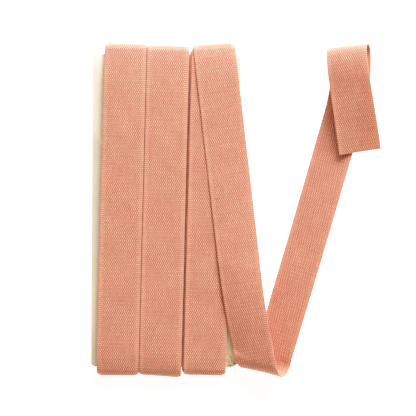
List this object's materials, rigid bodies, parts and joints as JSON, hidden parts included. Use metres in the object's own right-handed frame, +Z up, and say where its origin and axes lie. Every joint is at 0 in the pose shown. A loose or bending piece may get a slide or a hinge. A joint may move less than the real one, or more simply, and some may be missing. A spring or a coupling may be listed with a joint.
{
  "type": "roll of cotton ribbon",
  "caption": "Flat cotton ribbon wound in columns side by side on a flat card, with its loose end folded beside them.",
  "frame": {"origin": "middle of the winding's flat back, on the surface it lies on", "axes": "+Y runs along the columns towards the bend that the loose end comes over, +X across them towards the loose end, +Z up from the surface"},
  "size_m": [0.1034, 0.1204, 0.0142],
  "materials": {
    "card": "uncoated cream board with a rough cut edge",
    "ribbon": "matt plain-woven cotton, peach",
    "loose_end": "matt plain-woven cotton, peach"
  },
  "bodies": {
    "root": {"card": "card", "winding": "ribbon", "loose_end": "loose_end"}
  },
  "joints": []
}
